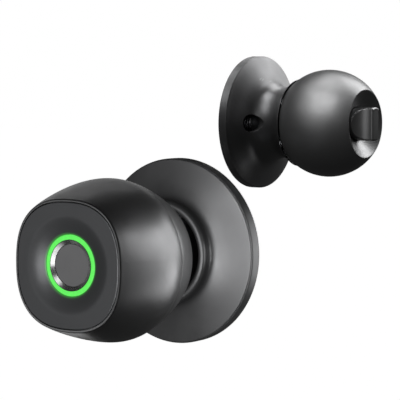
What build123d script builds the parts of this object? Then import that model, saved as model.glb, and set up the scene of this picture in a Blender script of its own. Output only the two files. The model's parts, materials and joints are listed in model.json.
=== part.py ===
from build123d import *
import os
from math import pi, sin, cos, sqrt, radians

# Fingerprint knob lock: outside knob, tubular latch and inside knob.
# Millimetres. Origin: centre of the outside rose's back face, on the spindle axis.
# +Z up. The outside knob faces -Y, the door side is +Y, the latch reaches towards -X.
# The inside half stands beside it with its axis along +X.

# ---------------- driving dimensions ----------------
rose_r = 41.0            # outside rose radius
rim_h = 5.2              # rim wall height
collar_r = 23.25         # raised collar of the outside rose
collar_top = 16.5
neck_r = 17.1            # visible neck of the battery knob
neck_step = 11.84        # where the neck steps down into its bearing
journal_r = 11.5         # bearing journal of the neck
running = 0.05           # radial running clearance
knob_rear = 26.0         # rear face of the battery knob
seam_d = 47.6            # seam between the two knob shells
face_d = 81.4            # front plane of the face panel
shell_t = 2.0            # knob shell wall
ring_out, ring_in = 12.63, 10.75
sensor_r = 8.8
dish_r = 21.0
dish_d = 79.2            # floor of the dish
cell_r, cell_l = 5.25, 44.5   # AAA cell
spindle_sq = 7.9
spindle_end = 48.0       # how far the spindle passes behind the rose
post_x = 19.0            # through-bolt half spacing
post_r = 4.0
post_end = 23.0
latch_y = 22.5           # latch centre plane, the middle of a 45 mm door
backset = 60.0
throw = 10.5             # bolt travel
turn_deg = 60.0          # knob turn that draws the bolt
ix, iy, iz = -26.0, 100.5, 54.3   # centre of the inside rose's back face
in_rose_r = 32.5
in_hole_y = 19.0
access_r, access_lean = 4.2, 20.0   # screw access holes of the inside rose, leaning outwards past the ball
ball_c, ball_r = 42.86, 25.84
in_dish_d, in_dish_r = 62.9, 16.4
button_r = 8.0
blade_front = 68.3
blade_w = 6.2
tube_in = 11.0           # how far the drive tube passes behind the inside rose, clear of the latch hub in a 35 mm door
bolt_l = 30.0            # through-bolt length, 6 mm or more in the posts of a 35 to 45 mm door

os.makedirs("parts", exist_ok=True)


def save(part, name):
    part.label = name
    export_step(part, "parts/" + name + ".step")


def inner_plane():
    # local X runs along the inside half's axis, local Y is its radius
    return Plane(origin=(ix, iy, iz), x_dir=(1, 0, 0), z_dir=(0, 0, 1))


in_axis = Axis((ix, iy, iz), (1, 0, 0))


def facing(d):
    # plane across the outside half's axis, d in front of the door, normal towards -Y
    return Plane(origin=(0, -d, 0), x_dir=(1, 0, 0), z_dir=(0, -1, 0))


def in_facing(h):
    # plane across the inside half's axis, h in front of the door, normal towards +X
    return Plane(origin=(ix + h, iy, iz), x_dir=(0, 1, 0), z_dir=(1, 0, 0))


def squircle(half, n, count=48):
    pts = []
    for i in range(count):
        t = 2 * pi * (i + 0.5) / count
        c, s = cos(t), sin(t)
        x = half * abs(c) ** (2 / n) * (1 if c >= 0 else -1)
        z = half * abs(s) ** (2 / n) * (1 if s >= 0 else -1)
        pts.append((x, z))
    return pts


# =====================================================================
# Outside rose
# =====================================================================
with BuildPart() as base_ring:
    with BuildSketch(Plane.XY):
        with BuildLine():
            Polyline((rose_r, 0), (rose_r, -rim_h + 0.5), (rose_r - 0.5, -rim_h), (38.4, -rim_h), (38.4, -1.8),
                     (33.0, -1.8), (33.0, 0), close=True)
        make_face()
    revolve(axis=Axis.Y)
    with BuildSketch(facing(0)):
        with PolarLocations(34.6, 4, start_angle=45):
            Circle(1.25)
    extrude(amount=2.2, mode=Mode.SUBTRACT)
save(base_ring.part, "outside_base_ring")

with BuildPart() as rose_cover:
    with BuildSketch(Plane.XY):
        with BuildLine():
            l1 = Polyline((38.2, -5.45), (40.3, -5.45), (40.5, -5.75), (40.5, -5.9))
            l2 = Spline((40.5, -5.9), (32.5, -7.6), (26.6, -9.35), (24.3, -10.5), (collar_r, -12.1),
                        tangents=[(-1, -0.20), (-0.1, -1)])
            l3 = Line((collar_r, -12.1), (collar_r, -14.7))
            l4 = ThreePointArc((collar_r, -14.7), (22.6, -16.05), (21.4, -collar_top))
            l5 = ThreePointArc((21.4, -collar_top), (20.1, -16.0), (19.6, -14.8))
            Polyline((19.6, -14.8), (19.6, -11.6), (22.0, -10.0), (22.0, -8.3), (26.0, -7.2), (36.5, -4.3),
                     (36.5, -2.3), (38.2, -2.3), (38.2, -5.45))
        make_face()
    revolve(axis=Axis.Y)
save(rose_cover.part, "outside_rose_cover")

with BuildPart() as mounting_plate:
    with BuildSketch(Plane.XY):
        with BuildLine():
            Polyline((13.25, -1.8), (36.2, -1.8), (36.2, -3.8), (14.6, -3.8), (14.6, -9.2), (13.25, -9.2), close=True)
        make_face()
    revolve(axis=Axis.Y)
    with BuildSketch(facing(1.0)):
        with PolarLocations(34.6, 4, start_angle=45):
            Circle(1.35)
        with Locations((post_x, 0), (-post_x, 0)):
            Circle(3.0)
    extrude(amount=3.2, mode=Mode.SUBTRACT)
    # lightening holes above and below the hub
    with BuildSketch(facing(1.0)):
        with Locations((0, 24), (0, -24)):
            SlotOverall(22, 7)
    extrude(amount=3.2, mode=Mode.SUBTRACT)
save(mounting_plate.part, "outside_mounting_plate")

with BuildPart() as plate_screws:
    with BuildSketch(facing(3.8)):
        with PolarLocations(34.6, 4, start_angle=45):
            Circle(1.5)
    extrude(amount=0.35)
    with BuildSketch(facing(0.3)):
        with PolarLocations(34.6, 4, start_angle=45):
            Circle(1.2)
    extrude(amount=3.6)
    with BuildSketch(facing(3.9)):
        with PolarLocations(34.6, 4, start_angle=45):
            Rectangle(0.35, 2.0)
            Rectangle(2.0, 0.35)
    extrude(amount=0.4, mode=Mode.SUBTRACT)
save(plate_screws.part, "plate_screws")

with BuildPart() as bearing_sleeve:
    with BuildSketch(Plane.XY):
        with BuildLine():
            Polyline((journal_r + running, -1.85), (13.22, -1.85), (13.22, -9.2), (14.5, -9.2), (14.5, -10.2),
                     (journal_r + running, -10.2), close=True)
        make_face()
    revolve(axis=Axis.Y)
save(bearing_sleeve.part, "outside_bearing_sleeve")

with BuildPart() as posts:
    for sx in (-1, 1):
        with BuildSketch(Plane(origin=(sx * post_x, -3.75, 0), x_dir=(1, 0, 0), z_dir=(0, 1, 0))):
            Circle(2.95)
        extrude(amount=1.95)
        with BuildSketch(Plane(origin=(sx * post_x, -1.75, 0), x_dir=(1, 0, 0), z_dir=(0, 1, 0))):
            Circle(post_r)
        extrude(amount=post_end + 1.75)
        with BuildSketch(Plane(origin=(sx * post_x, -1.8, 0), x_dir=(1, 0, 0), z_dir=(0, 1, 0))):
            Circle(2.95)
        extrude(amount=0.1)
        with BuildSketch(Plane(origin=(sx * post_x, -4, 0), x_dir=(1, 0, 0), z_dir=(0, 1, 0))):
            Circle(2.05)
        extrude(amount=post_end + 5, mode=Mode.SUBTRACT)
save(posts.part, "mounting_posts")

with BuildPart() as cassette_cup:
    with BuildSketch(Plane.XY):
        with BuildLine():
            Polyline((13.0, -1.75), (14.2, -1.75), (14.2, 9.6), (7.2, 9.6), (7.2, 8.7), (13.3, 8.7), (13.3, -1.0),
                     (13.0, -1.0), close=True)
        make_face()
    revolve(axis=Axis.Y)
save(cassette_cup.part, "spring_cassette_cup")

with BuildPart() as out_spring:
    with BuildLine():
        coil = Helix(pitch=1.35, height=4.05, radius=10.9, center=(0, 1.5, 0), direction=(0, 1, 0))
    with BuildSketch(Plane(origin=coil @ 0, z_dir=coil % 0)):
        Circle(0.55)
    sweep(is_frenet=True)
save(out_spring.part, "outside_return_spring")

# =====================================================================
# Battery knob
# =====================================================================
with BuildPart() as rear_shell:
    with BuildSketch(Plane.XY):
        with BuildLine():
            Polyline((5.66, 8.2), (8.0, 8.2), (8.0, 0.8), (journal_r, 0.8), (journal_r, -0.35), (10.5, -0.35),
                     (10.5, -1.45), (journal_r, -1.45), (journal_r, -10.5), (neck_r - 0.4, -neck_step + 0.4),
                     (neck_r, -neck_step), (neck_r, -knob_rear), (23.1, -knob_rear))
            ThreePointArc((23.1, -knob_rear), (24.2, -26.6), (24.9, -27.6))
            Spline((24.9, -27.6), (27.7, -31.6), (31.0, -39.0), (33.0, -44.5), (33.65, -seam_d + 0.15),
                   tangents=[(1, -1.3), (0.12, -1)])
            Polyline((33.65, -seam_d + 0.15), (31.5, -seam_d + 0.15), (31.5, -51.5), (29.7, -51.5), (29.7, -44.5),
                     (24.0, -31.0), (8.0, -28.6), (8.0, -20.0), (5.66, -20.0), (5.66, 8.2))
        make_face()
    revolve(axis=Axis.Y)
    # bosses for the battery holder screws
    with BuildSketch(facing(36.0)):
        with Locations((20.5, 0), (-20.5, 0)):
            Circle(3.0)
    extrude(amount=8.3)
    with BuildSketch(facing(36.0)):
        with Locations((20.5, 0), (-20.5, 0)):
            Rectangle(4, 6)
    extrude(amount=-6.5)
    with BuildSketch(facing(37.8)):
        with Locations((20.5, 0), (-20.5, 0)):
            Circle(1.05)
    extrude(amount=7, mode=Mode.SUBTRACT)
save(rear_shell.part, "knob_rear_shell")

shell_sections = [(seam_d + 0.15, 33.75, 2.02), (57.0, 34.3, 2.12), (65.0, 32.7, 2.24), (73.0, 30.35, 2.36),
                  (78.4, 28.4, 2.46), (81.2, 27.25, 2.5)]
with BuildPart() as front_shell:
    for d, half, n in shell_sections:
        with BuildSketch(facing(d)):
            with BuildLine():
                Spline(*squircle(half, n), periodic=True)
            make_face()
    loft()
    fillet(front_shell.faces().sort_by(Axis.Y)[0].edges(), 0.55)
    # hollow: round at the seam, following the body towards the face
    with BuildSketch(Plane.XY):
        with BuildLine():
            Polyline((0, -47.0), (31.65, -47.0), (31.65, -52.0), (32.0, -57.0), (30.5, -65.0), (28.2, -73.0),
                     (26.6, -76.6), (0, -76.6), close=True)
        make_face()
    revolve(axis=Axis.Y, mode=Mode.SUBTRACT)
    # seat and mouth for the face panel
    with BuildSketch(facing(76.4)):
        with BuildLine():
            Spline(*squircle(24.6, 2.5), periodic=True)
        make_face()
    extrude(amount=6, mode=Mode.SUBTRACT)
    with BuildSketch(facing(78.6)):
        with BuildLine():
            Spline(*squircle(26.3, 2.5), periodic=True)
        make_face()
    extrude(amount=6, mode=Mode.SUBTRACT)
    # slot for the emergency power port, on the underside
    with BuildSketch(Plane(origin=(0, -71.0, -27.2), x_dir=(0, 1, 0), z_dir=(0, 0, -1))):
        SlotOverall(7.0, 2.6)
    extrude(amount=6, mode=Mode.SUBTRACT)
save(front_shell.part, "knob_front_shell")

with BuildPart() as face_panel:
    with BuildSketch(facing(78.65)):
        with BuildLine():
            Spline(*squircle(26.0, 2.5), periodic=True)
        make_face()
    extrude(amount=face_d - 78.65)
    with BuildSketch(facing(76.6)):
        Circle(20.5)
    extrude(amount=2.2)
    fillet(face_panel.faces().sort_by(Axis.Y)[0].edges(), 0.3)
    # smooth round dish
    with BuildSketch(Plane.XY):
        with BuildLine():
            Polyline((0, -face_d - 1), (dish_r, -face_d - 1), (dish_r, -face_d))
            Spline((dish_r, -face_d), (18.9, -81.13), (16.7, -80.55), (14.7, -79.87), (12.75, -dish_d),
                   tangents=[(-1, 0), (-1, 0.34)])
            Polyline((12.75, -dish_d), (12.75, -74.0), (0, -74.0), (0, -face_d - 1))
        make_face()
    revolve(axis=Axis.Y, mode=Mode.SUBTRACT)
save(face_panel.part, "face_panel")

with BuildPart() as light_ring:
    with BuildSketch(Plane.XY):
        with BuildLine():
            Polyline((ring_in, -dish_d + 0.2), (ring_in, -76.6), (ring_out, -76.6), (ring_out, -dish_d + 0.2))
            ThreePointArc((ring_out, -dish_d + 0.2), ((ring_in + ring_out) / 2, -dish_d - 0.1),
                          (ring_in, -dish_d + 0.2))
        make_face()
    revolve(axis=Axis.Y)
save(light_ring.part, "led_light_ring")

with BuildPart() as bezel:
    with BuildSketch(Plane.XY):
        with BuildLine():
            Polyline((8.95, -78.1), (10.4, -dish_d), (10.65, -dish_d), (10.65, -76.6), (8.95, -76.6), close=True)
        make_face()
    revolve(axis=Axis.Y)
save(bezel.part, "sensor_bezel")

with BuildPart() as sensor:
    with BuildSketch(facing(76.6)):
        Circle(sensor_r)
    extrude(amount=1.55)
    chamfer(sensor.faces().sort_by(Axis.Y)[0].edges(), 0.25)
save(sensor.part, "fingerprint_sensor")

with BuildPart() as sensor_board:
    with BuildSketch(facing(75.5)):
        Circle(19.5)
        with Locations((0, -19)):
            Rectangle(8, 3, mode=Mode.SUBTRACT)
    extrude(amount=1.0)
save(sensor_board.part, "sensor_board")

with BuildPart() as leds:
    with BuildSketch(facing(74.7)):
        with PolarLocations((ring_in + ring_out) / 2, 8):
            Rectangle(1.6, 1.6)
    extrude(amount=0.75)
save(leds.part, "status_leds")

with BuildPart() as main_board:
    with BuildSketch(facing(71.2)):
        Circle(24.0)
        with Locations((0, -24)):
            Rectangle(12, 3, mode=Mode.SUBTRACT)
    extrude(amount=1.4)
save(main_board.part, "main_board")

with BuildPart() as components:
    with BuildSketch(facing(72.6)):
        with Locations((-8, 6)):
            Rectangle(9, 9)
        with Locations((8, 7)):
            Rectangle(6, 5)
        with Locations((9, -6)):
            Rectangle(4, 7)
        with Locations((-9, -8)):
            Circle(2.5)
    extrude(amount=1.3)
save(components.part, "board_components")

with BuildPart() as ribbon:
    with BuildSketch(Plane(origin=(-3.5, 0, 0), x_dir=(0, 1, 0), z_dir=(1, 0, 0))):
        with BuildLine():
            Polyline((-72.62, -14.0), (-72.62, -17.6), (-75.48, -17.6), (-75.48, -14.0), (-75.2, -14.0),
                     (-75.2, -17.3), (-72.9, -17.3), (-72.9, -14.0), close=True)
        make_face()
    extrude(amount=7)
save(ribbon.part, "sensor_ribbon")

with BuildPart() as port:
    with BuildSketch(Plane(origin=(0, -71.0, -23.6), x_dir=(0, 1, 0), z_dir=(0, 0, -1))):
        SlotOverall(6.8, 2.4)
        SlotOverall(6.1, 1.7, mode=Mode.SUBTRACT)
    extrude(amount=5.6)
    with BuildSketch(Plane(origin=(0, -71.0, -23.6), x_dir=(0, 1, 0), z_dir=(0, 0, -1))):
        SlotOverall(6.8, 2.4)
    extrude(amount=0.8)
    with BuildSketch(Plane(origin=(0, -71.0, -24.0), x_dir=(0, 1, 0), z_dir=(0, 0, -1))):
        Rectangle(4.2, 0.6)
    extrude(amount=3.8)
save(port.part, "emergency_power_port")

cell_spots = [(z, d) for d in (62.6, 50.6) for z in (6.0, -6.0)]
with BuildPart() as holder:
    with BuildSketch(facing(44.4)):
        RectangleRounded(50.6, 25.2, 3)
    extrude(amount=24.6)
    for z, d in cell_spots:
        with BuildSketch(Plane(origin=(-24.4, -d, z), x_dir=(0, 1, 0), z_dir=(1, 0, 0))):
            Circle(cell_r + 0.25)
        extrude(amount=48.8, mode=Mode.SUBTRACT)
    with BuildSketch(facing(43.0)):
        with Locations((20.5, 0), (-20.5, 0)):
            Circle(1.2)
    extrude(amount=5, mode=Mode.SUBTRACT)
    with BuildSketch(facing(56.6)):
        Rectangle(30, 9)
    extrude(amount=14, mode=Mode.SUBTRACT)
save(holder.part, "battery_holder")

with BuildPart() as cells:
    for z, d in cell_spots:
        with BuildSketch(Plane(origin=(-cell_l / 2, -d, z), x_dir=(0, 1, 0), z_dir=(1, 0, 0))):
            Circle(cell_r)
        extrude(amount=cell_l - 1.0)
        with BuildSketch(Plane(origin=(-cell_l / 2, -d, z), x_dir=(0, 1, 0), z_dir=(1, 0, 0))):
            Circle(1.9)
        extrude(amount=cell_l)
save(cells.part, "aaa_cells")

with BuildPart() as contact_plates:
    for z, d in cell_spots:
        for x0 in (cell_l / 2 + 0.05, -24.35):
            with BuildSketch(Plane(origin=(x0, -d, z), x_dir=(0, 1, 0), z_dir=(1, 0, 0))):
                Circle(4.6)
            extrude(amount=0.3)
save(contact_plates.part, "battery_contact_plates")

with BuildPart() as battery_springs:
    for z, d in cell_spots:
        with BuildLine():
            hx = Helix(pitch=0.62, height=1.24, radius=2.4, center=(-23.72, -d, z), direction=(1, 0, 0))
        with BuildSketch(Plane(origin=hx @ 0, z_dir=hx % 0)):
            Circle(0.2)
        sweep(path=hx, is_frenet=True)
save(battery_springs.part, "battery_springs")

with BuildPart() as holder_screws:
    for sx in (-1, 1):
        with BuildSketch(Plane(origin=(sx * 20.5, -39.0, 0), x_dir=(1, 0, 0), z_dir=(0, -1, 0))):
            Circle(1.0)
        extrude(amount=6.1)
        with BuildSketch(Plane(origin=(sx * 20.5, -45.05, 0), x_dir=(1, 0, 0), z_dir=(0, -1, 0))):
            Circle(1.15)
        extrude(amount=0.9)
save(holder_screws.part, "holder_screws")

with BuildPart() as motor:
    with BuildSketch(Plane.XY.offset(16.4)):
        with Locations((0, -36.0)):
            RectangleRounded(12, 9, 1)
    extrude(amount=6.3)
    with BuildSketch(Plane.XY.offset(12.2)):
        with Locations((0, -36.0)):
            Circle(0.8)
    extrude(amount=4.4)
save(motor.part, "clutch_motor")

with BuildPart() as clutch_guide:
    with BuildSketch(Plane.XY.offset(9.4)):
        with Locations((0, -36.0)):
            RectangleRounded(13, 9.4, 1)
            Circle(1.56, mode=Mode.SUBTRACT)
    extrude(amount=2.2)
    with BuildSketch(Plane.XY.offset(11.0)):
        with Locations((7.2, -36.0), (-7.2, -36.0)):
            Rectangle(2.0, 9.4)
    extrude(amount=9.0)
    with BuildSketch(Plane.XY.offset(9.4)):
        with Locations((7.2, -36.0), (-7.2, -36.0)):
            Rectangle(2.0, 9.4)
    extrude(amount=2.2)
save(clutch_guide.part, "clutch_guide")

with BuildPart() as clutch_pin:
    with BuildSketch(Plane.XY.offset(5.9)):
        with Locations((0, -36.0)):
            Circle(1.5)
    extrude(amount=6.6)
    with BuildSketch(Plane.XY.offset(11.8)):
        with Locations((0, -36.0)):
            Circle(0.9)
    extrude(amount=2, mode=Mode.SUBTRACT)
    with BuildSketch(Plane.XY.offset(8.2)):
        with Locations((0, -36.0)):
            Circle(0.9)
    extrude(amount=4.4, mode=Mode.SUBTRACT)
save(clutch_pin.part, "clutch_pin")

with BuildPart() as out_circlip:
    with BuildSketch(facing(0.4)):
        Circle(12.7)
        Circle(10.52, mode=Mode.SUBTRACT)
        with Locations((0, -12)):
            Rectangle(3.0, 5, mode=Mode.SUBTRACT)
    extrude(amount=1.0)
save(out_circlip.part, "outside_circlip")

with BuildPart() as out_driver:
    with BuildSketch(Plane(origin=(0, 7.0, 0), x_dir=(1, 0, 0), z_dir=(0, 1, 0))):
        Circle(12.4)
        Circle(8.02, mode=Mode.SUBTRACT)
        with Locations((0, 12.2)):
            Rectangle(1.4, 3.0, mode=Mode.SUBTRACT)
    extrude(amount=1.1)
save(out_driver.part, "outside_spring_driver")

# =====================================================================
# Spindle, clutch hub and latch hub
# =====================================================================
with BuildPart() as spindle:
    with BuildSketch(facing(39.6)):
        Circle(5.6)
    extrude(amount=-(39.6 + 10.2))
    with BuildSketch(Plane(origin=(0, 10.2, 0), x_dir=(1, 0, 0), z_dir=(0, 1, 0))):
        Rectangle(spindle_sq, spindle_sq)
    extrude(amount=spindle_end - 10.2)
    chamfer(spindle.faces().sort_by(Axis.Y)[-1].edges(), 0.6)
    # hollow for the thumb-turn's lock bar
    with BuildSketch(Plane(origin=(0, 49.0, 0), x_dir=(1, 0, 0), z_dir=(0, -1, 0))):
        Circle(2.6)
    extrude(amount=80.0, mode=Mode.SUBTRACT)
save(spindle.part, "spindle_bar")

with BuildPart() as clutch_hub:
    with BuildSketch(facing(32.0)):
        Circle(9.0)
        Circle(5.62, mode=Mode.SUBTRACT)
    extrude(amount=7.8)
    with BuildSketch(Plane.XY.offset(5.5)):
        with Locations((0, -36.0)):
            Circle(1.58)
    extrude(amount=4.0, mode=Mode.SUBTRACT)
save(clutch_hub.part, "clutch_hub")

hub_r = 6.9
lobe_r, lobe_w = 11.0, 1.5
with BuildPart() as latch_hub:
    with BuildSketch(Plane(origin=(0, latch_y - 5.5, 0), x_dir=(1, 0, 0), z_dir=(0, 1, 0))):
        Circle(hub_r)
    extrude(amount=11.0)
    with BuildSketch(Plane(origin=(0, latch_y - 1.4, 0), x_dir=(1, 0, 0), z_dir=(0, 1, 0))):
        SlotOverall(2 * lobe_r, 2 * lobe_w, rotation=90)
    extrude(amount=2.8)
    with BuildSketch(Plane(origin=(0, latch_y - 6, 0), x_dir=(1, 0, 0), z_dir=(0, 1, 0))):
        Rectangle(spindle_sq + 0.2, spindle_sq + 0.2)
    extrude(amount=12.0, mode=Mode.SUBTRACT)
save(latch_hub.part, "latch_hub")

# =====================================================================
# Tubular latch
# =====================================================================
def edge_plane(x0):
    # looking at the faceplate from the door's edge: local X along +Y, normal towards +X
    return Plane(origin=(x0, latch_y, 0), x_dir=(0, 1, 0), z_dir=(1, 0, 0))


with BuildPart() as faceplate:
    with BuildSketch(edge_plane(-62.4)):
        RectangleRounded(25.0, 56.0, 6.3)
        Rectangle(13.2, 15.6, mode=Mode.SUBTRACT)
        with Locations((7.9, 0)):
            Rectangle(3.0, 7.6, mode=Mode.SUBTRACT)
        with Locations((0, 21), (0, -21)):
            Circle(2.3, mode=Mode.SUBTRACT)
    extrude(amount=2.4)
    fillet(faceplate.faces().sort_by(Axis.X)[0].outer_wire().edges(), 0.4)
save(faceplate.part, "latch_faceplate")

with BuildPart() as backplate:
    with BuildSketch(edge_plane(-60.0)):
        RectangleRounded(22.0, 53.0, 5.0)
        Circle(10.62, mode=Mode.SUBTRACT)
        with Locations((0, 21), (0, -21)):
            Circle(2.6, mode=Mode.SUBTRACT)
    extrude(amount=1.2)
save(backplate.part, "latch_backplate")

with BuildPart() as latch_tube:
    with BuildSketch(edge_plane(-58.8)):
        Circle(11.6)
        Circle(10.6, mode=Mode.SUBTRACT)
    extrude(amount=19.4)
    with BuildSketch(edge_plane(-60.0)):
        Circle(10.6)
        Circle(10.2, mode=Mode.SUBTRACT)
    extrude(amount=1.6)
    with BuildSketch(edge_plane(-58.8)):
        Circle(10.7)
        Circle(10.2, mode=Mode.SUBTRACT)
    extrude(amount=0.4)
save(latch_tube.part, "latch_tube")

with BuildPart() as bulkhead:
    with BuildSketch(edge_plane(-39.4)):
        Circle(11.6)
        Circle(2.6, mode=Mode.SUBTRACT)
    extrude(amount=1.2)
save(bulkhead.part, "latch_bulkhead")

with BuildPart() as cheeks:
    for y0 in (latch_y - 4.8, latch_y + 3.6):
        with BuildSketch(Plane(origin=(0, y0, 0), x_dir=(1, 0, 0), z_dir=(0, 1, 0))):
            with Locations((-12.6, 0)):
                RectangleRounded(51.2, 23.0, 1.5)
            Circle(hub_r + 0.07, mode=Mode.SUBTRACT)
            with Locations((-post_x, 0)):
                Circle(post_r + 0.4, mode=Mode.SUBTRACT)
        extrude(amount=1.2)
save(cheeks.part, "latch_cheeks")

with BuildPart() as rivets:
    for x0 in (-34.0, 11.0):
        for z0 in (10.8, -10.8):
            with BuildSketch(Plane(origin=(x0, latch_y - 3.6, z0), x_dir=(1, 0, 0), z_dir=(0, 1, 0))):
                Circle(0.6)
            extrude(amount=7.2)
save(rivets.part, "latch_rivets")

with BuildPart() as bolt_head:
    with BuildSketch(Plane(origin=(0, 0, -7.5), x_dir=(1, 0, 0), z_dir=(0, 0, 1))):
        with BuildLine():
            Polyline((-53.0, latch_y - 6.3), (-62.6, latch_y - 6.3), (-73.4, latch_y + 3.2), (-73.4, latch_y + 6.3),
                     (-53.0, latch_y + 6.3), close=True)
        make_face()
    extrude(amount=15.0)
    fillet(bolt_head.edges().filter_by(Axis.Z).sort_by(Axis.X)[0:2], 0.8)
    with BuildSketch(edge_plane(-53.0)):
        Circle(2.5)
    extrude(amount=15.4)
save(bolt_head.part, "latch_bolt_head")

with BuildPart() as yoke:
    # web that the bolt's tail is fixed to
    with BuildSketch(edge_plane(-37.55)):
        Rectangle(6.0, 19.8)
    extrude(amount=2.4)
    for y0 in (latch_y - 3.0, latch_y + 1.8):
        with BuildSketch(Plane(origin=(0, y0, 0), x_dir=(1, 0, 0), z_dir=(0, 1, 0))):
            with Locations((-15.6, 8.65), (-15.6, -8.65)):
                Rectangle(44.0, 2.5)
        extrude(amount=1.2)
    # hooks across the two arms, in front of the hub's lobes
    with BuildSketch(Plane(origin=(0, latch_y - 3.0, 0), x_dir=(1, 0, 0), z_dir=(0, 1, 0))):
        with Locations((4.3, 8.65), (4.3, -8.65)):
            Rectangle(4.2, 2.5)
    extrude(amount=6.0)
save(yoke.part, "retractor_yoke")

with BuildPart() as bolt_spring:
    with BuildLine():
        bs = Helix(pitch=2.9, height=12.4, radius=3.6, center=(-52.5, latch_y, 0), direction=(1, 0, 0))
    with BuildSketch(Plane(origin=bs @ 0, z_dir=bs % 0)):
        Circle(0.4)
    sweep(path=bs, is_frenet=True)
save(bolt_spring.part, "bolt_spring")

with BuildPart() as plunger:
    with BuildSketch(edge_plane(-71.6)):
        with Locations((7.9, 0)):
            Rectangle(2.4, 7.0)
    extrude(amount=17.6)
    fillet(plunger.edges().filter_by(Axis.Z).sort_by(Axis.X)[0:2], 0.7)
save(plunger.part, "deadlatch_plunger")

with BuildPart() as plunger_spring:
    with BuildLine():
        ps = Helix(pitch=1.9, height=13.4, radius=0.85, center=(-53.7, latch_y + 7.9, 0), direction=(1, 0, 0))
    with BuildSketch(Plane(origin=ps @ 0, z_dir=ps % 0)):
        Circle(0.2)
    sweep(path=ps, is_frenet=True)
save(plunger_spring.part, "plunger_spring")

# through-bolts, run home into the posts
with BuildPart() as bolts:
    for sx in (-1, 1):
        with BuildSketch(Plane(origin=(sx * post_x, post_end + 0.05 - bolt_l, 0), x_dir=(1, 0, 0), z_dir=(0, 1, 0))):
            Circle(2.0)
        extrude(amount=bolt_l + 0.05)
        with BuildSketch(Plane(origin=(sx * post_x, post_end + 0.05, 0), x_dir=(1, 0, 0), z_dir=(0, 1, 0))):
            Circle(3.5)
        extrude(amount=2.4)
        with BuildSketch(Plane(origin=(sx * post_x, post_end + 1.2, 0), x_dir=(1, 0, 0), z_dir=(0, 1, 0))):
            Rectangle(0.9, 4.6)
            Rectangle(4.6, 0.9)
        extrude(amount=2.4, mode=Mode.SUBTRACT)
save(bolts.part, "through_bolts")

# =====================================================================
# Inside half
# =====================================================================
with BuildPart() as inside_rose:
    with BuildSketch(inner_plane()):
        with BuildLine():
            Polyline((0, 30.7), (0, in_rose_r), (4.0, in_rose_r), (4.3, in_rose_r - 0.35))
            Spline((4.3, in_rose_r - 0.35), (6.6, 27.2), (9.0, 22.4), (11.6, 19.3), (15.5, 17.6), (19.0, 17.4),
                   (23.0, 18.6), (26.5, 21.2), tangents=[(0.36, -1), (1, 0.95)])
            Polyline((26.5, 21.2), (25.6, 20.2), (22.6, 17.4), (18.8, 15.6), (15.0, 15.7), (11.0, 17.0), (7.4, 21.2),
                     (4.8, 26.6), (2.6, 30.7), (0, 30.7))
        make_face()
    revolve(axis=in_axis)
    # screw access holes, leaning outwards
    for s in (-1, 1):
        with BuildSketch(Plane(origin=(ix + 3.0, iy + s * 17.07, iz), x_dir=(0, 0, 1),
                               z_dir=(cos(radians(access_lean)), s * sin(radians(access_lean)), 0))):
            Circle(access_r)
        extrude(amount=19.0, mode=Mode.SUBTRACT)
save(inside_rose.part, "inside_rose")

with BuildPart() as inside_plate:
    with BuildSketch(inner_plane()):
        with BuildLine():
            Polyline((0, 11.0), (0, 30.4), (2.0, 30.4), (2.0, 12.6), (11.0, 12.6), (11.0, 11.0), close=True)
        make_face()
    revolve(axis=in_axis)
    with BuildSketch(in_facing(-1)):
        with Locations((in_hole_y, 0), (-in_hole_y, 0)):
            Circle(2.3)
        with Locations((0, 22), (0, -22)):
            SlotOverall(16, 6)
    extrude(amount=4, mode=Mode.SUBTRACT)
save(inside_plate.part, "inside_mounting_plate")

with BuildPart() as inside_sleeve:
    with BuildSketch(inner_plane()):
        with BuildLine():
            Polyline((0.1, 9.05), (0.1, 10.97), (11.0, 10.97), (11.0, 12.4), (12.0, 12.4), (12.0, 9.05), close=True)
        make_face()
    revolve(axis=in_axis)
save(inside_sleeve.part, "inside_bearing_sleeve")

with BuildPart() as in_spring:
    with BuildLine():
        ih = Helix(pitch=1.35, height=4.05, radius=13.75, center=(ix + 2.9, iy, iz), direction=(1, 0, 0))
    with BuildSketch(Plane(origin=ih @ 0, z_dir=ih % 0)):
        Circle(0.5)
    sweep(path=ih, is_frenet=True)
save(in_spring.part, "inside_return_spring")

in_axial = sqrt(ball_r ** 2 - in_dish_r ** 2)
with BuildPart() as knob_shell:
    with BuildSketch(inner_plane()):
        with BuildLine():
            rear_h = 26.85
            rear_r = sqrt(ball_r ** 2 - (ball_c - rear_h) ** 2)
            front_h = ball_c + in_axial
            Polyline((rear_h, 9.02), (rear_h, rear_r))
            ThreePointArc((rear_h, rear_r), (ball_c, ball_r), (front_h, in_dish_r))
            Polyline((front_h, in_dish_r), (front_h - 0.05, in_dish_r - 0.35), (58.4, 8.9), (58.1, 8.3), (50.45, 8.3),
                     (50.45, 4.5), (49.75, 4.5), (49.75, 9.8), (56.0, 10.2), (59.4, 14.8))
            ThreePointArc((59.4, 14.8), (ball_c, ball_r - 2.2), (30.6, 20.2))
            Polyline((30.6, 20.2), (29.4, 18.4), (29.4, 12.6), (42.0, 12.6), (42.0, 9.02), (rear_h, 9.02))
        make_face()
    revolve(axis=in_axis)
    # threaded hole for the grub screw in the hub
    with BuildSketch(Plane(origin=(ix + 36.0, iy, iz - 8), x_dir=(1, 0, 0), z_dir=(0, 0, -1))):
        Circle(1.5)
    extrude(amount=6, mode=Mode.SUBTRACT)
save(knob_shell.part, "inside_knob_shell")

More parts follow.
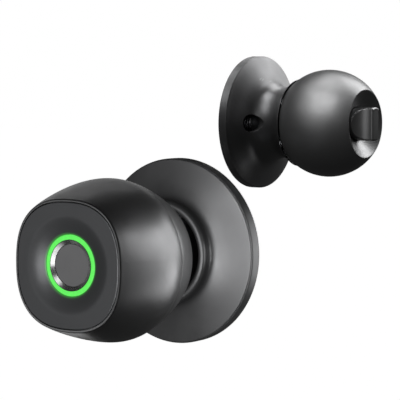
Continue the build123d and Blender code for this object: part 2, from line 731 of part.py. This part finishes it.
with BuildPart() as drive_tube:
    with BuildSketch(inner_plane()):
        with BuildLine():
            Polyline((-tube_in, 6.0), (-tube_in, 9.0), (-1.45, 9.0), (-1.45, 8.2), (-0.35, 8.2), (-0.35, 9.0), (46.0, 9.0),
                     (46.0, 2.6), (14.0, 2.6), (14.0, 6.0), close=True)
        make_face()
    revolve(axis=in_axis)
    # square socket for the spindle
    with BuildSketch(in_facing(-tube_in)):
        Circle(6.0)
        Rectangle(spindle_sq + 0.2, spindle_sq + 0.2, mode=Mode.SUBTRACT)
    extrude(amount=tube_in + 14.0)
    with BuildSketch(Plane(origin=(ix + 36.0, iy, iz - 7.4), x_dir=(1, 0, 0), z_dir=(0, 0, -1))):
        Circle(1.5)
    extrude(amount=3, mode=Mode.SUBTRACT)
save(drive_tube.part, "inside_drive_tube")

with BuildPart() as grub:
    with BuildSketch(Plane(origin=(ix + 36.0, iy, iz - 7.5), x_dir=(1, 0, 0), z_dir=(0, 0, -1))):
        Circle(1.46)
    extrude(amount=4.6)
    with BuildSketch(Plane(origin=(ix + 36.0, iy, iz - 11.2), x_dir=(1, 0, 0), z_dir=(0, 0, -1))):
        RegularPolygon(0.75, 6)
    extrude(amount=2, mode=Mode.SUBTRACT)
save(grub.part, "knob_grub_screw")

with BuildPart() as in_circlip:
    with BuildSketch(in_facing(-1.4)):
        Circle(10.9)
        Circle(8.22, mode=Mode.SUBTRACT)
        with Locations((0, -10)):
            Rectangle(3.0, 6, mode=Mode.SUBTRACT)
    extrude(amount=1.0)
save(in_circlip.part, "inside_circlip")

with BuildPart() as in_driver:
    with BuildSketch(in_facing(12.4)):
        Circle(12.4)
        Circle(9.02, mode=Mode.SUBTRACT)
        with Locations((0, 13.2)):
            Rectangle(3.0, 3.0)
    extrude(amount=1.2)
    with BuildSketch(in_facing(8.2)):
        with Locations((0, 13.9)):
            Rectangle(3.0, 1.2)
    extrude(amount=4.3)
save(in_driver.part, "inside_spring_driver")

scoop_r = 8.2
hc = 66.9
with BuildPart() as button:
    with BuildSketch(in_facing(50.8)):
        Circle(button_r)
    extrude(amount=blade_front - 50.8)
    for sy in (-1, 1):
        with BuildSketch(Plane(origin=(ix, iy, iz - 12), x_dir=(1, 0, 0), z_dir=(0, 0, 1))):
            with Locations((hc, sy * (blade_w / 2 + scoop_r))):
                Circle(scoop_r)
            with Locations(((hc + blade_front + 2) / 2, sy * (blade_w / 2 + scoop_r))):
                Rectangle(blade_front + 2 - hc, 2 * scoop_r)
            with Locations((hc + 4, sy * (blade_w / 2 + scoop_r + 4))):
                Rectangle(15, 2 * scoop_r)
        extrude(amount=24, mode=Mode.SUBTRACT)
    # stub that the lock bar is pressed into
    with BuildSketch(in_facing(50.9)):
        Circle(4.2)
    extrude(amount=-4.0)
    with BuildSketch(in_facing(46.0)):
        Rectangle(1.64, 4.04)
    extrude(amount=9.0, mode=Mode.SUBTRACT)
    with BuildSketch(in_facing(48.6)):
        Circle(5.0)
        Circle(3.6, mode=Mode.SUBTRACT)
    extrude(amount=0.9, mode=Mode.SUBTRACT)
    fillet(button.faces().sort_by(Axis.X)[-1].edges(), 0.7)
save(button.part, "thumb_turn_button")

with BuildPart() as lock_bar:
    with BuildSketch(in_facing(-19.0)):
        Rectangle(1.6, 4.0)
    extrude(amount=19.0 + 54.8)
save(lock_bar.part, "lock_bar")

with BuildPart() as turn_clip:
    with BuildSketch(in_facing(48.7)):
        Circle(6.4)
        Circle(3.65, mode=Mode.SUBTRACT)
        with Locations((0, -6)):
            Rectangle(4.0, 6, mode=Mode.SUBTRACT)
    extrude(amount=0.7)
save(turn_clip.part, "thumb_turn_clip")
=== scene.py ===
import bmesh
import bpy
import json
from math import radians, sin, cos, pi, sqrt
from mathutils import Matrix, Vector


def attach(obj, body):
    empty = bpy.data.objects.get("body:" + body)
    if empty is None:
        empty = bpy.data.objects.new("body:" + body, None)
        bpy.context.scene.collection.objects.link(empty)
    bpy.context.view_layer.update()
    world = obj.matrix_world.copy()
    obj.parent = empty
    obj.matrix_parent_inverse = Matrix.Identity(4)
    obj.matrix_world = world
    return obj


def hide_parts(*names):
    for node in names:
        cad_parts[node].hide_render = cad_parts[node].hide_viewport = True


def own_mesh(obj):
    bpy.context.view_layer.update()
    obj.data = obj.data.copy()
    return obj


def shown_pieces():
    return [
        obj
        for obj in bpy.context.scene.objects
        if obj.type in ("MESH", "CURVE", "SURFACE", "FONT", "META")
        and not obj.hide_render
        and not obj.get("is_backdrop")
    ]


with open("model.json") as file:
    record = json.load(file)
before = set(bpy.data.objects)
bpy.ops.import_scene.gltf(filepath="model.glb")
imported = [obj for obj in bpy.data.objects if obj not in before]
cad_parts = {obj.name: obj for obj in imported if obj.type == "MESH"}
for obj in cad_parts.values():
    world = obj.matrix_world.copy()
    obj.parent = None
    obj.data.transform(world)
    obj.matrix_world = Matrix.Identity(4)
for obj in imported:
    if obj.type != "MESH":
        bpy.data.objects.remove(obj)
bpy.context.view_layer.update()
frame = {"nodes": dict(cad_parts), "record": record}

nodes = frame["nodes"]
record = frame["record"]
scene = bpy.context.scene
slot_of = {s["node"]: s["material_slot"] for s in record["subparts"]}

# ---------------------------------------------------------------- materials


def tree(name):
    m = bpy.data.materials.new(name)
    m.use_nodes = True
    nt = m.node_tree
    for n in list(nt.nodes):
        nt.nodes.remove(n)
    out = nt.nodes.new("ShaderNodeOutputMaterial")
    b = nt.nodes.new("ShaderNodeBsdfPrincipled")
    nt.links.new(b.outputs["BSDF"], out.inputs["Surface"])
    return m, nt, b


def coords(nt, scale=(1, 1, 1), rotation=(0, 0, 0), location=(0, 0, 0)):
    tc = nt.nodes.new("ShaderNodeTexCoord")
    mp = nt.nodes.new("ShaderNodeMapping")
    mp.inputs["Scale"].default_value = scale
    mp.inputs["Rotation"].default_value = rotation
    mp.inputs["Location"].default_value = location
    nt.links.new(tc.outputs["Object"], mp.inputs["Vector"])
    return mp.outputs["Vector"]


def noise(nt, vec, scale, detail=3.0, rough=0.55):
    n = nt.nodes.new("ShaderNodeTexNoise")
    n.inputs["Scale"].default_value = scale
    n.inputs["Detail"].default_value = detail
    n.inputs["Roughness"].default_value = rough
    nt.links.new(vec, n.inputs["Vector"])
    return n.outputs["Fac"]


def remap(nt, fac, lo, hi, a=0.3, b=0.7, smooth=False):
    r = nt.nodes.new("ShaderNodeMapRange")
    if smooth:
        r.interpolation_type = "SMOOTHSTEP"
    r.inputs["From Min"].default_value = a
    r.inputs["From Max"].default_value = b
    r.inputs["To Min"].default_value = lo
    r.inputs["To Max"].default_value = hi
    nt.links.new(fac, r.inputs["Value"])
    return r.outputs["Result"]


def mix(nt, fac, a, b):
    m = nt.nodes.new("ShaderNodeMix")
    m.data_type = "RGBA"
    nt.links.new(fac, m.inputs["Factor"])
    for sock, v in ((m.inputs[6], a), (m.inputs[7], b)):
        if isinstance(v, tuple):
            sock.default_value = (*v, 1.0)
        else:
            nt.links.new(v, sock)
    return m.outputs[2]


def math_node(nt, op, a, b=None):
    m = nt.nodes.new("ShaderNodeMath")
    m.operation = op
    for i, v in enumerate((a, b)):
        if v is None:
            continue
        if isinstance(v, (int, float)):
            m.inputs[i].default_value = v
        else:
            nt.links.new(v, m.inputs[i])
    return m.outputs[0]


def bump(nt, bsdf, height, strength, distance, chain=None):
    b = nt.nodes.new("ShaderNodeBump")
    b.inputs["Strength"].default_value = strength
    b.inputs["Distance"].default_value = distance
    nt.links.new(height, b.inputs["Height"])
    if chain is not None:
        nt.links.new(chain, b.inputs["Normal"])
    nt.links.new(b.outputs["Normal"], bsdf.inputs["Normal"])
    return b.outputs["Normal"]


def paint(name, base, base2, rough, metallic, coat=0.0, coat_rough=0.2, peel=0.06, spec=0.5, spread=0.05):
    """Lacquer over metal: fine orange peel, hand-worn gloss patches, hairline scratches, brighter worn edges."""
    m, nt, b = tree(name)
    v = coords(nt)
    cloud = noise(nt, v, 55.0, 3.0)
    fine = noise(nt, v, 2600.0, 2.0)
    hair = noise(nt, coords(nt, (3600.0, 110.0, 110.0), (0.5, 0.3, 0.9)), 1.0, 2.0)
    tint = mix(nt, remap(nt, cloud, 0.0, 1.0), base, base2)
    geo = nt.nodes.new("ShaderNodeNewGeometry")
    edge = remap(nt, geo.outputs["Pointiness"], 0.0, 0.55, 0.54, 0.62, True)
    worn = math_node(nt, "MULTIPLY", edge, remap(nt, cloud, 0.25, 1.0, 0.35, 0.65))
    nt.links.new(mix(nt, worn, tint, tuple(min(1.0, c * 2.2 + 0.03) for c in base2)), b.inputs["Base Color"])
    r1 = remap(nt, cloud, rough - spread, rough + spread, 0.3, 0.7)
    r2 = remap(nt, hair, 0.0, 0.07, 0.60, 0.74, True)
    nt.links.new(math_node(nt, "ADD", r1, r2), b.inputs["Roughness"])
    b.inputs["Metallic"].default_value = metallic
    b.inputs["Specular IOR Level"].default_value = spec
    b.inputs["Coat Weight"].default_value = coat
    b.inputs["Coat Roughness"].default_value = coat_rough
    soft = nt.nodes.new("ShaderNodeBevel")
    soft.samples = 4
    soft.inputs["Radius"].default_value = 0.00055
    n1 = bump(nt, b, fine, peel, 0.00004, soft.outputs["Normal"])
    bump(nt, b, hair, peel * 0.5, 0.00002, n1)
    return m


def metal(name, base, rough, kind="brushed", metallic=1.0, axis="Z", tarnish=None, spread=0.09):
    """Bare metal: brushing or turning marks along one direction, tarnish clouds and small handling scratches."""
    m, nt, b = tree(name)
    scale = {"X": (60.0, 2600.0, 2600.0), "Y": (2600.0, 60.0, 2600.0), "Z": (2600.0, 2600.0, 60.0)}[axis]
    marks = noise(nt, coords(nt, scale if kind == "brushed" else (900.0, 900.0, 900.0)), 1.0, 3.0)
    v = coords(nt)
    cloud = noise(nt, v, 90.0, 4.0)
    dark = tarnish or tuple(c * 0.72 for c in base)
    nt.links.new(mix(nt, remap(nt, cloud, 0.0, 1.0, 0.35, 0.7), base, dark), b.inputs["Base Color"])
    nt.links.new(remap(nt, marks, rough - spread, rough + spread), b.inputs["Roughness"])
    b.inputs["Metallic"].default_value = metallic
    n1 = bump(nt, b, marks, 0.10, 0.00003)
    bump(nt, b, noise(nt, v, 1500.0, 2.0), 0.05, 0.00003, n1)
    return m


def moulded(name, base, rough, grain=1800.0, strength=0.12, base2=None, spec=0.4, coat=0.0):
    """Moulded plastic: fine spark grain, soft shade variation."""
    m, nt, b = tree(name)
    v = coords(nt)
    cloud = noise(nt, v, 70.0, 3.0)
    g = noise(nt, v, grain, 3.0)
    nt.links.new(mix(nt, remap(nt, cloud, 0.0, 1.0), base, base2 or tuple(c * 0.86 for c in base)), b.inputs["Base Color"])
    nt.links.new(remap(nt, g, rough - 0.06, rough + 0.06), b.inputs["Roughness"])
    b.inputs["Specular IOR Level"].default_value = spec
    b.inputs["Coat Weight"].default_value = coat
    bump(nt, b, g, strength, 0.00004)
    return m


def radius_from_knob_axis(nt):
    tc = nt.nodes.new("ShaderNodeTexCoord")
    sep = nt.nodes.new("ShaderNodeSeparateXYZ")
    nt.links.new(tc.outputs["Object"], sep.inputs[0])
    x2 = math_node(nt, "MULTIPLY", sep.outputs["X"], sep.outputs["X"])
    z2 = math_node(nt, "MULTIPLY", sep.outputs["Z"], sep.outputs["Z"])
    return math_node(nt, "SQRT", math_node(nt, "ADD", x2, z2))


def panel_material():
    """Soft-touch charcoal face, with a painted glow: green emission on the plastic just beside the light ring stands in
    for the ring's light falling on it.
    """
    m, nt, b = tree("face_panel_plastic")
    v = coords(nt)
    cloud = noise(nt, v, 60.0, 3.0)
    g = noise(nt, v, 3200.0, 2.0)
    nt.links.new(mix(nt, remap(nt, cloud, 0.0, 1.0), (0.104, 0.106, 0.110), (0.097, 0.099, 0.103)), b.inputs["Base Color"])
    nt.links.new(remap(nt, g, 0.28, 0.34), b.inputs["Roughness"])
    b.inputs["Metallic"].default_value = 0.6
    b.inputs["Specular IOR Level"].default_value = 0.5
    # painted glow: green emission of strength 0.26 at the light ring's edge, fading to none by 13.85 mm from the knob
    # axis, stands in for the ring's light on the plastic
    b.inputs["Emission Color"].default_value = (0.05, 0.75, 0.04, 1.0)
    rho = radius_from_knob_axis(nt)
    painted_ring_glow = remap(nt, rho, 0.26, 0.0, 0.01262, 0.01385, True)
    nt.links.new(painted_ring_glow, b.inputs["Emission Strength"])
    bump(nt, b, g, 0.05, 0.00003)
    return m


def ring_material():
    m, nt, b = tree("led_ring_lit")
    v = coords(nt)
    cloud = noise(nt, v, 900.0, 2.0)
    nt.links.new(mix(nt, remap(nt, cloud, 0.0, 1.0), (0.02, 0.11, 0.02), (0.03, 0.13, 0.03)), b.inputs["Base Color"])
    nt.links.new(remap(nt, cloud, 0.42, 0.50), b.inputs["Roughness"])
    b.inputs["Specular IOR Level"].default_value = 0.05
    b.inputs["Emission Color"].default_value = (0.150, 1.0, 0.138, 1.0)
    nt.links.new(remap(nt, cloud, 0.79, 0.85), b.inputs["Emission Strength"])
    bump(nt, b, cloud, 0.03, 0.00002)
    return m


def board(name, base, trace):
    """Circuit board: solder mask with a fine generic track pattern."""
    m, nt, b = tree(name)
    v = coords(nt, (1, 1, 1))
    br = nt.nodes.new("ShaderNodeTexBrick")
    br.inputs["Scale"].default_value = 260.0
    br.inputs["Mortar Size"].default_value = 0.03
    nt.links.new(v, br.inputs["Vector"])
    nt.links.new(mix(nt, br.outputs["Fac"], base, trace), b.inputs["Base Color"])
    nt.links.new(remap(nt, noise(nt, v, 700.0), 0.28, 0.42), b.inputs["Roughness"])
    bump(nt, b, br.outputs["Fac"], 0.15, 0.00004)
    return m


GRAPHITE = paint("graphite_lacquer", (0.150, 0.151, 0.154), (0.135, 0.136, 0.139), 0.40, 0.88, coat=0.12, coat_rough=0.32)
KNOB = paint("knob_lacquer", (0.165, 0.166, 0.169), (0.150, 0.151, 0.154), 0.38, 0.88, coat=0.12, coat_rough=0.30)
BALL = paint("ball_lacquer", (0.190, 0.191, 0.193), (0.175, 0.176, 0.178), 0.43, 0.90, coat=0.15, coat_rough=0.28)
TURN = paint("thumb_turn_satin", (0.200, 0.201, 0.203), (0.18, 0.181, 0.183), 0.32, 0.92, coat=0.1, coat_rough=0.25)

by_slot = {
    "graphite_metal": GRAPHITE,
    "ball_metal": BALL,
    "panel_plastic": panel_material(),
    "light_ring_green": ring_material(),
    "bezel_metal": metal("bezel_turned", (0.72, 0.72, 0.72), 0.26, axis="Y", spread=0.02),
    "sensor_glass": moulded("sensor_cover", (0.150, 0.150, 0.152), 0.36, 2400.0, 0.03, base2=(0.138, 0.138, 0.141), spec=0.5),
    "turn_metal": TURN,
    "zinc_steel": metal("zinc_plate", (0.50, 0.51, 0.52), 0.36, tarnish=(0.38, 0.39, 0.42)),
    "fixing_steel": metal("fixing_steel", (0.48, 0.48, 0.49), 0.28, axis="Y"),
    "spring_steel": metal("spring_wire", (0.34, 0.34, 0.35), 0.26, axis="X"),
    "cast_zinc": metal("cast_zinc", (0.42, 0.42, 0.44), 0.48, kind="cast"),
    "latch_brass": metal("latch_brass", (0.62, 0.46, 0.20), 0.27, axis="X", tarnish=(0.46, 0.32, 0.13)),
    "black_nylon": moulded("black_nylon", (0.020, 0.020, 0.021), 0.46, 1500.0, 0.18),
    "white_nylon": moulded("bearing_nylon", (0.62, 0.61, 0.57), 0.42, 1500.0, 0.12),
    "board_green": board("solder_mask", (0.010, 0.075, 0.030), (0.020, 0.14, 0.055)),
    "chip_black": moulded("chip_epoxy", (0.014, 0.014, 0.015), 0.40, 2600.0, 0.15),
    "led_white": moulded("led_package", (0.72, 0.70, 0.60), 0.30, 1600.0, 0.05),
    "ribbon_orange": moulded("ribbon_film", (0.52, 0.20, 0.035), 0.25, 800.0, 0.04),
    "cell_wrap": moulded("cell_wrap", (0.035, 0.042, 0.055), 0.24, 900.0, 0.05, coat=0.4),
    "contact_plate": metal("contact_plate", (0.66, 0.55, 0.30), 0.25, axis="Z"),
    "motor_case": metal("motor_can", (0.46, 0.46, 0.47), 0.26, axis="Z"),
}

for n, o in nodes.items():
    mat = by_slot[slot_of[n]]
    if n in ("knob_front_shell", "knob_rear_shell"):
        mat = KNOB
    for s in o.material_slots:
        s.material = mat

# ---------------------------------------------------------------- coil springs in place of the CAD springs


def coil_spring(name, node, x0, length, turns, radius, wire, y):
    """Round-wire coil along X with capped wire ends, standing in for the rigid CAD coil of the same size."""
    steps, ring = int(turns * 28), 10
    verts, faces = [], []
    for i in range(steps + 1):
        t = i / steps
        a = 2 * pi * turns * t
        c = Vector((x0 + length * t, y + radius * cos(a), radius * sin(a)))
        tangent = Vector((length, -radius * 2 * pi * turns * sin(a), radius * 2 * pi * turns * cos(a))).normalized()
        out = Vector((0, cos(a), sin(a)))
        side = tangent.cross(out).normalized()
        for j in range(ring):
            q = 2 * pi * j / ring
            verts.append(c + wire * (cos(q) * out + sin(q) * side))
    for i in range(steps):
        for j in range(ring):
            k = (j + 1) % ring
            faces.append((i * ring + j, i * ring + k, (i + 1) * ring + k, (i + 1) * ring + j))
    faces.append(tuple(reversed(range(ring))))
    faces.append(tuple(range(steps * ring, (steps + 1) * ring)))
    me = bpy.data.meshes.new(name)
    me.from_pydata([tuple(v) for v in verts], [], faces)
    bm = bmesh.new()
    bm.from_mesh(me)
    bmesh.ops.recalc_face_normals(bm, faces=bm.faces)
    bm.to_mesh(me)
    bm.free()
    for f in me.polygons:
        f.use_smooth = len(f.vertices) == 4
    me.materials.append(by_slot[slot_of[node]])
    o = bpy.data.objects.new(name, me)
    scene.collection.objects.link(o)
    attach(o, "fixed_parts")
    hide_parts(node)
    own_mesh(o)
    return o


coil_spring("bolt_spring_coil", "bolt_spring", -0.0525, 0.0124, 12.4 / 2.9, 0.0036, 0.0004, 0.0225)
coil_spring("plunger_spring_coil", "plunger_spring", -0.0537, 0.0134, 13.4 / 1.9, 0.00085, 0.0002, 0.0304)

# ---------------------------------------------------------------- camera

a, e = radians(34.47), radians(4.01)
right = Vector((cos(a), sin(a), 0))
back = Vector((sin(a) * cos(e), -cos(a) * cos(e), sin(e)))
up = Vector((-sin(e) * sin(a), sin(e) * cos(a), cos(e)))

cam_data = bpy.data.cameras.new("camera")
cam_data.sensor_width = 36.0
cam_data.sensor_fit = "HORIZONTAL"
cam_data.lens = 162.0
cam_data.clip_start, cam_data.clip_end = 0.05, 30.0
cam = bpy.data.objects.new("camera", cam_data)
cam.location = (8.2 * right + 22.22 * up + 800.59 * back) / 1000.0
cam.rotation_mode = "QUATERNION"
cam.rotation_quaternion = Matrix((right, up, back)).transposed().to_quaternion()
scene.collection.objects.link(cam)
scene.camera = cam

# ---------------------------------------------------------------- floor and backdrop


def plain_floor():
    me = bpy.data.meshes.new("floor")
    k = 12.0
    me.from_pydata([(-k, -k, 0), (k, -k, 0), (k, k, 0), (-k, k, 0)], [], [(0, 1, 2, 3)])
    o = bpy.data.objects.new("floor", me)
    o.location = (0, 0, -0.42)
    m, nt, b = tree("pale_floor")
    b.inputs["Base Color"].default_value = (0.9, 0.9, 0.9, 1)
    b.inputs["Roughness"].default_value = 0.8
    b.inputs["Emission Color"].default_value = (1, 1, 1, 1)
    b.inputs["Emission Strength"].default_value = 0.97
    me.materials.append(m)
    scene.collection.objects.link(o)
    o.visible_glossy = False
    o.visible_diffuse = False
    o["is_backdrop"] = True


plain_floor()

world = bpy.data.worlds.new("studio")
scene.world = world
world.use_nodes = True
wt = world.node_tree
for n in list(wt.nodes):
    wt.nodes.remove(n)
w_out = wt.nodes.new("ShaderNodeOutputWorld")
w_mix = wt.nodes.new("ShaderNodeMixShader")
w_dim = wt.nodes.new("ShaderNodeBackground")
w_pale = wt.nodes.new("ShaderNodeBackground")
w_path = wt.nodes.new("ShaderNodeLightPath")
w_dim.inputs["Color"].default_value = (1, 1, 1, 1)
w_dim.inputs["Strength"].default_value = 0.036
w_pale.inputs["Color"].default_value = (1, 1, 1, 1)
w_pale.inputs["Strength"].default_value = 1.0
wt.links.new(w_path.outputs["Is Camera Ray"], w_mix.inputs[0])
wt.links.new(w_dim.outputs[0], w_mix.inputs[1])
wt.links.new(w_pale.outputs[0], w_mix.inputs[2])
wt.links.new(w_mix.outputs[0], w_out.inputs["Surface"])
scene.view_settings.view_transform = "Standard"
scene.view_settings.look = "None"

# ---------------------------------------------------------------- studio light
# The two halves stand apart and each has its own soft boxes, as in a catalogue picture.

inside_names = [n for n in nodes if n.startswith("inside_") or n in ("thumb_turn_button", "lock_bar", "thumb_turn_clip", "knob_grub_screw")]
face_names = ["face_panel", "fingerprint_sensor", "led_light_ring"]
rose_names = ["outside_rose_cover", "outside_base_ring"]
in_rose_names = ["inside_rose", "inside_mounting_plate", "inside_bearing_sleeve", "inside_drive_tube", "inside_circlip",
                 "inside_spring_driver", "inside_return_spring"]
members = {
    "in_rose": [n for n in inside_names if n in in_rose_names],
    "ball": [n for n in inside_names if n not in in_rose_names],
    "face": face_names,
    "bezel": ["sensor_bezel"],
    "rose": rose_names,
    "knob": ["knob_front_shell", "knob_rear_shell", "emergency_power_port"],
}
shown = [n for names in members.values() for n in names]
members["works"] = [n for n in nodes if n not in shown]
sets = {}
for key, names in members.items():
    sets[key] = bpy.data.collections.new("lit_" + key)
    for n in names:
        sets[key].objects.link(nodes[n])

centre = {k: Vector((0, -0.040, 0)) for k in members}
centre["in_rose"] = centre["ball"] = Vector((0.010, 0.1005, 0.0543))


def soft_box(group, azimuth, elevation, radiance, size=0.46, height=None, alone=False):
    """Area light 0.9 m from the target; azimuth 0 is in front (-Y), 90 is towards +X. alone: only the group shades itself."""
    w, h = size, height or size
    ld = bpy.data.lights.new("soft_%s_%d_%d" % (group, azimuth, elevation), "AREA")
    ld.shape = "RECTANGLE"
    ld.size, ld.size_y = w, h
    ld.energy = radiance * pi * w * h
    o = bpy.data.objects.new(ld.name, ld)
    A, E = radians(azimuth), radians(elevation)
    d = Vector((sin(A) * cos(E), -cos(A) * cos(E), sin(E)))
    o.location = centre[group] + d * 0.9
    o.rotation_mode = "QUATERNION"
    o.rotation_quaternion = d.to_track_quat("Z", "Y")
    o.visible_camera = False
    scene.collection.objects.link(o)
    o.light_linking.receiver_collection = sets[group]
    if alone:
        o.light_linking.blocker_collection = sets[group]
    return o


# group: (azimuth, elevation, radiance, and the width where it is not the usual one)
boxes = {
    "knob": [(135, -15, 3.9), (120, 15, 3.6), (150, 15, 2.9), (-45, -15, 1.7), (-150, 15, 0.5), (-120, 15, 0.6), (236, -34, 1.6, 0.34, 0.14),
             (222, 44, 0.55, 0.60, 0.26)],
    "ball": [(0, 15, 0.5, 0.72), (14, 44, 3.3, 0.72), (157, 42, 4.2, 0.60), (-23, 45, 1.05, 0.72), (180, 72, 1.9, 0.72), (-60, 75, 1.5, 0.72), (60, 62, 0.7, 0.72), (150, 24, 3.2)],
    "in_rose": [(150, 15, 5.4), (180, 15, 1.56), (157, 45, 3.4), (-158, 45, 3.63), (-23, 45, 3.41), (-60, 75, 4.56), (110, -38, 1.2, 0.40, 0.12), (20, 14, 2.4, 0.16, 0.34)],
    "rose": [(15, -12, 6.4, 0.46, 0.42), (135, -12, 2.3, 0.46, 0.40), (-12, -8, 1.5, 0.40, 0.30), (2, 8, 6.8, 0.46, 0.34), (150, 8, 1.5, 0.46, 0.30), (93, -2, 4.2, 0.34)],
    "face": [(-32, -4, 0.46, 0.34), (10, -3, 6.6, 0.32, 0.80), (75, -10, 6.0)],
    "works": [(140, 20, 1.9), (225, 25, 2.1), (20, 20, 1.5), (300, 15, 1.7), (180, -30, 0.9)],
    "bezel": [(45, -15, 2.6), (22, 45, 1.8), (45, -45, 2.6), (0, -45, 1.0)],
}
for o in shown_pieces():
    if o.name.endswith("_spring_coil"):
        sets["works"].objects.link(o)
for group, entries in boxes.items():
    for azimuth, elevation, radiance, *size in entries:
        soft_box(group, azimuth, elevation, radiance, *size, alone=group in ("face", "bezel", "rose"))
